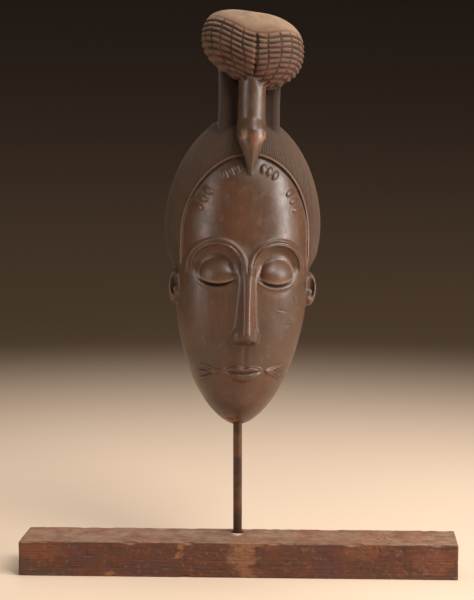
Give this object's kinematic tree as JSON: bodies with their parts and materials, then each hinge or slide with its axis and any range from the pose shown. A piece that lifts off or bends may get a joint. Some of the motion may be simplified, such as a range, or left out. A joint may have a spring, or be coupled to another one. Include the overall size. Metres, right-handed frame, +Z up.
{
  "type": "carved wooden face mask on a display stand",
  "caption": "Long oval face mask of dark carved wood with a combed coiffure and a bird crest, on a thin metal rod in a long block of old timber.",
  "frame": {"origin": "middle of the timber block's flat underside, where the stand rests", "axes": "+Z up, +X along the block to the viewer's right, the mask looks towards -Y"},
  "size_m": [0.465, 0.0941, 0.5904],
  "materials": {
    "dark_carved_wood": "dark brown, worn to a soft gloss, matt and dusty on the coiffure and crest",
    "rod_metal": "dark brown oxidised steel",
    "old_timber": "old matt timber, red-brown stain, worn and dirty"
  },
  "bodies": {
    "root": {"mask": "dark_carved_wood", "stand_rod": "rod_metal", "stand_block": "old_timber"}
  },
  "joints": []
}
